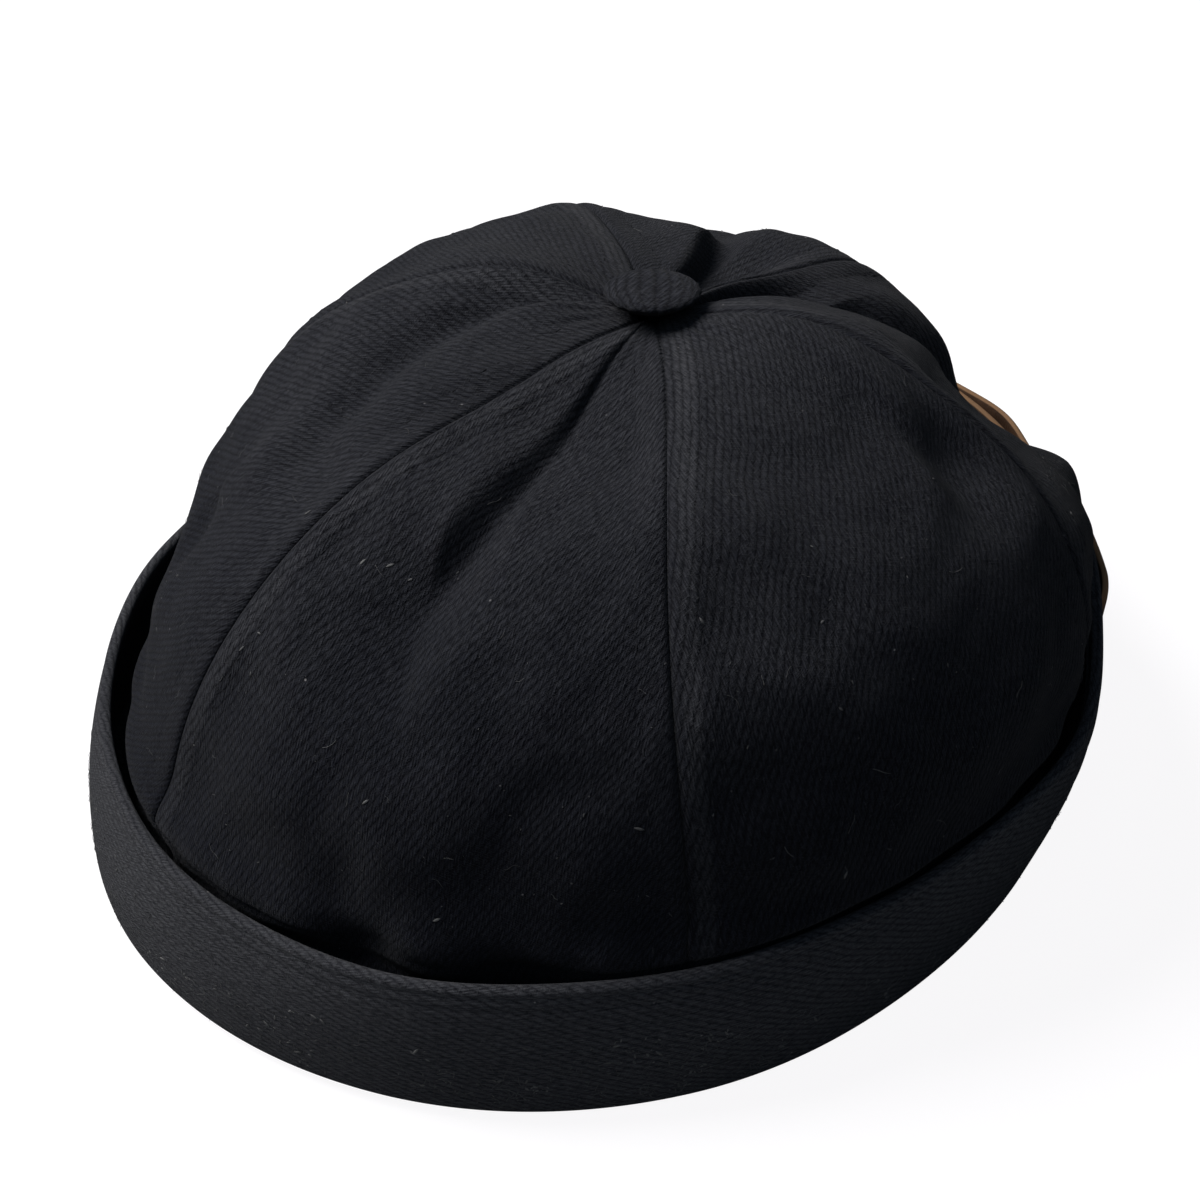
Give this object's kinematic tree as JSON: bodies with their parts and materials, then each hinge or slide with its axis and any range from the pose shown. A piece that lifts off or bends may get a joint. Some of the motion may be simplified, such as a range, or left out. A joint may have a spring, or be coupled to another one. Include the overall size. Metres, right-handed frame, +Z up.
{
  "type": "fisherman cap",
  "caption": "Brimless fisherman cap of black cotton twill: a panelled crown with a covered top button, a turned-up cuff, and a leather strap across a slit at the back.",
  "frame": {"origin": "middle of the cap's box at the level of the fold that it stands on", "axes": "+Z up, -Y towards the wearer's front, +X towards the wearer's left"},
  "size_m": [0.2041, 0.2181, 0.1076],
  "materials": {
    "crown_twill": "washed black cotton twill",
    "cuff_twill": "washed black cotton twill, doubled",
    "strap_leather": "tan leather with raw edges",
    "keeper_metal": "plain dull brass"
  },
  "bodies": {
    "root": {"crown_panel_front_left": "crown_twill", "crown_panel_side_left": "crown_twill", "crown_panel_back_left": "crown_twill", "crown_panel_back_right": "crown_twill", "crown_panel_side_right": "crown_twill", "crown_panel_front_right": "crown_twill", "crown_button": "crown_twill", "cuff": "cuff_twill", "strap_tab": "strap_leather", "strap_long": "strap_leather", "strap_keeper": "keeper_metal"}
  },
  "joints": []
}
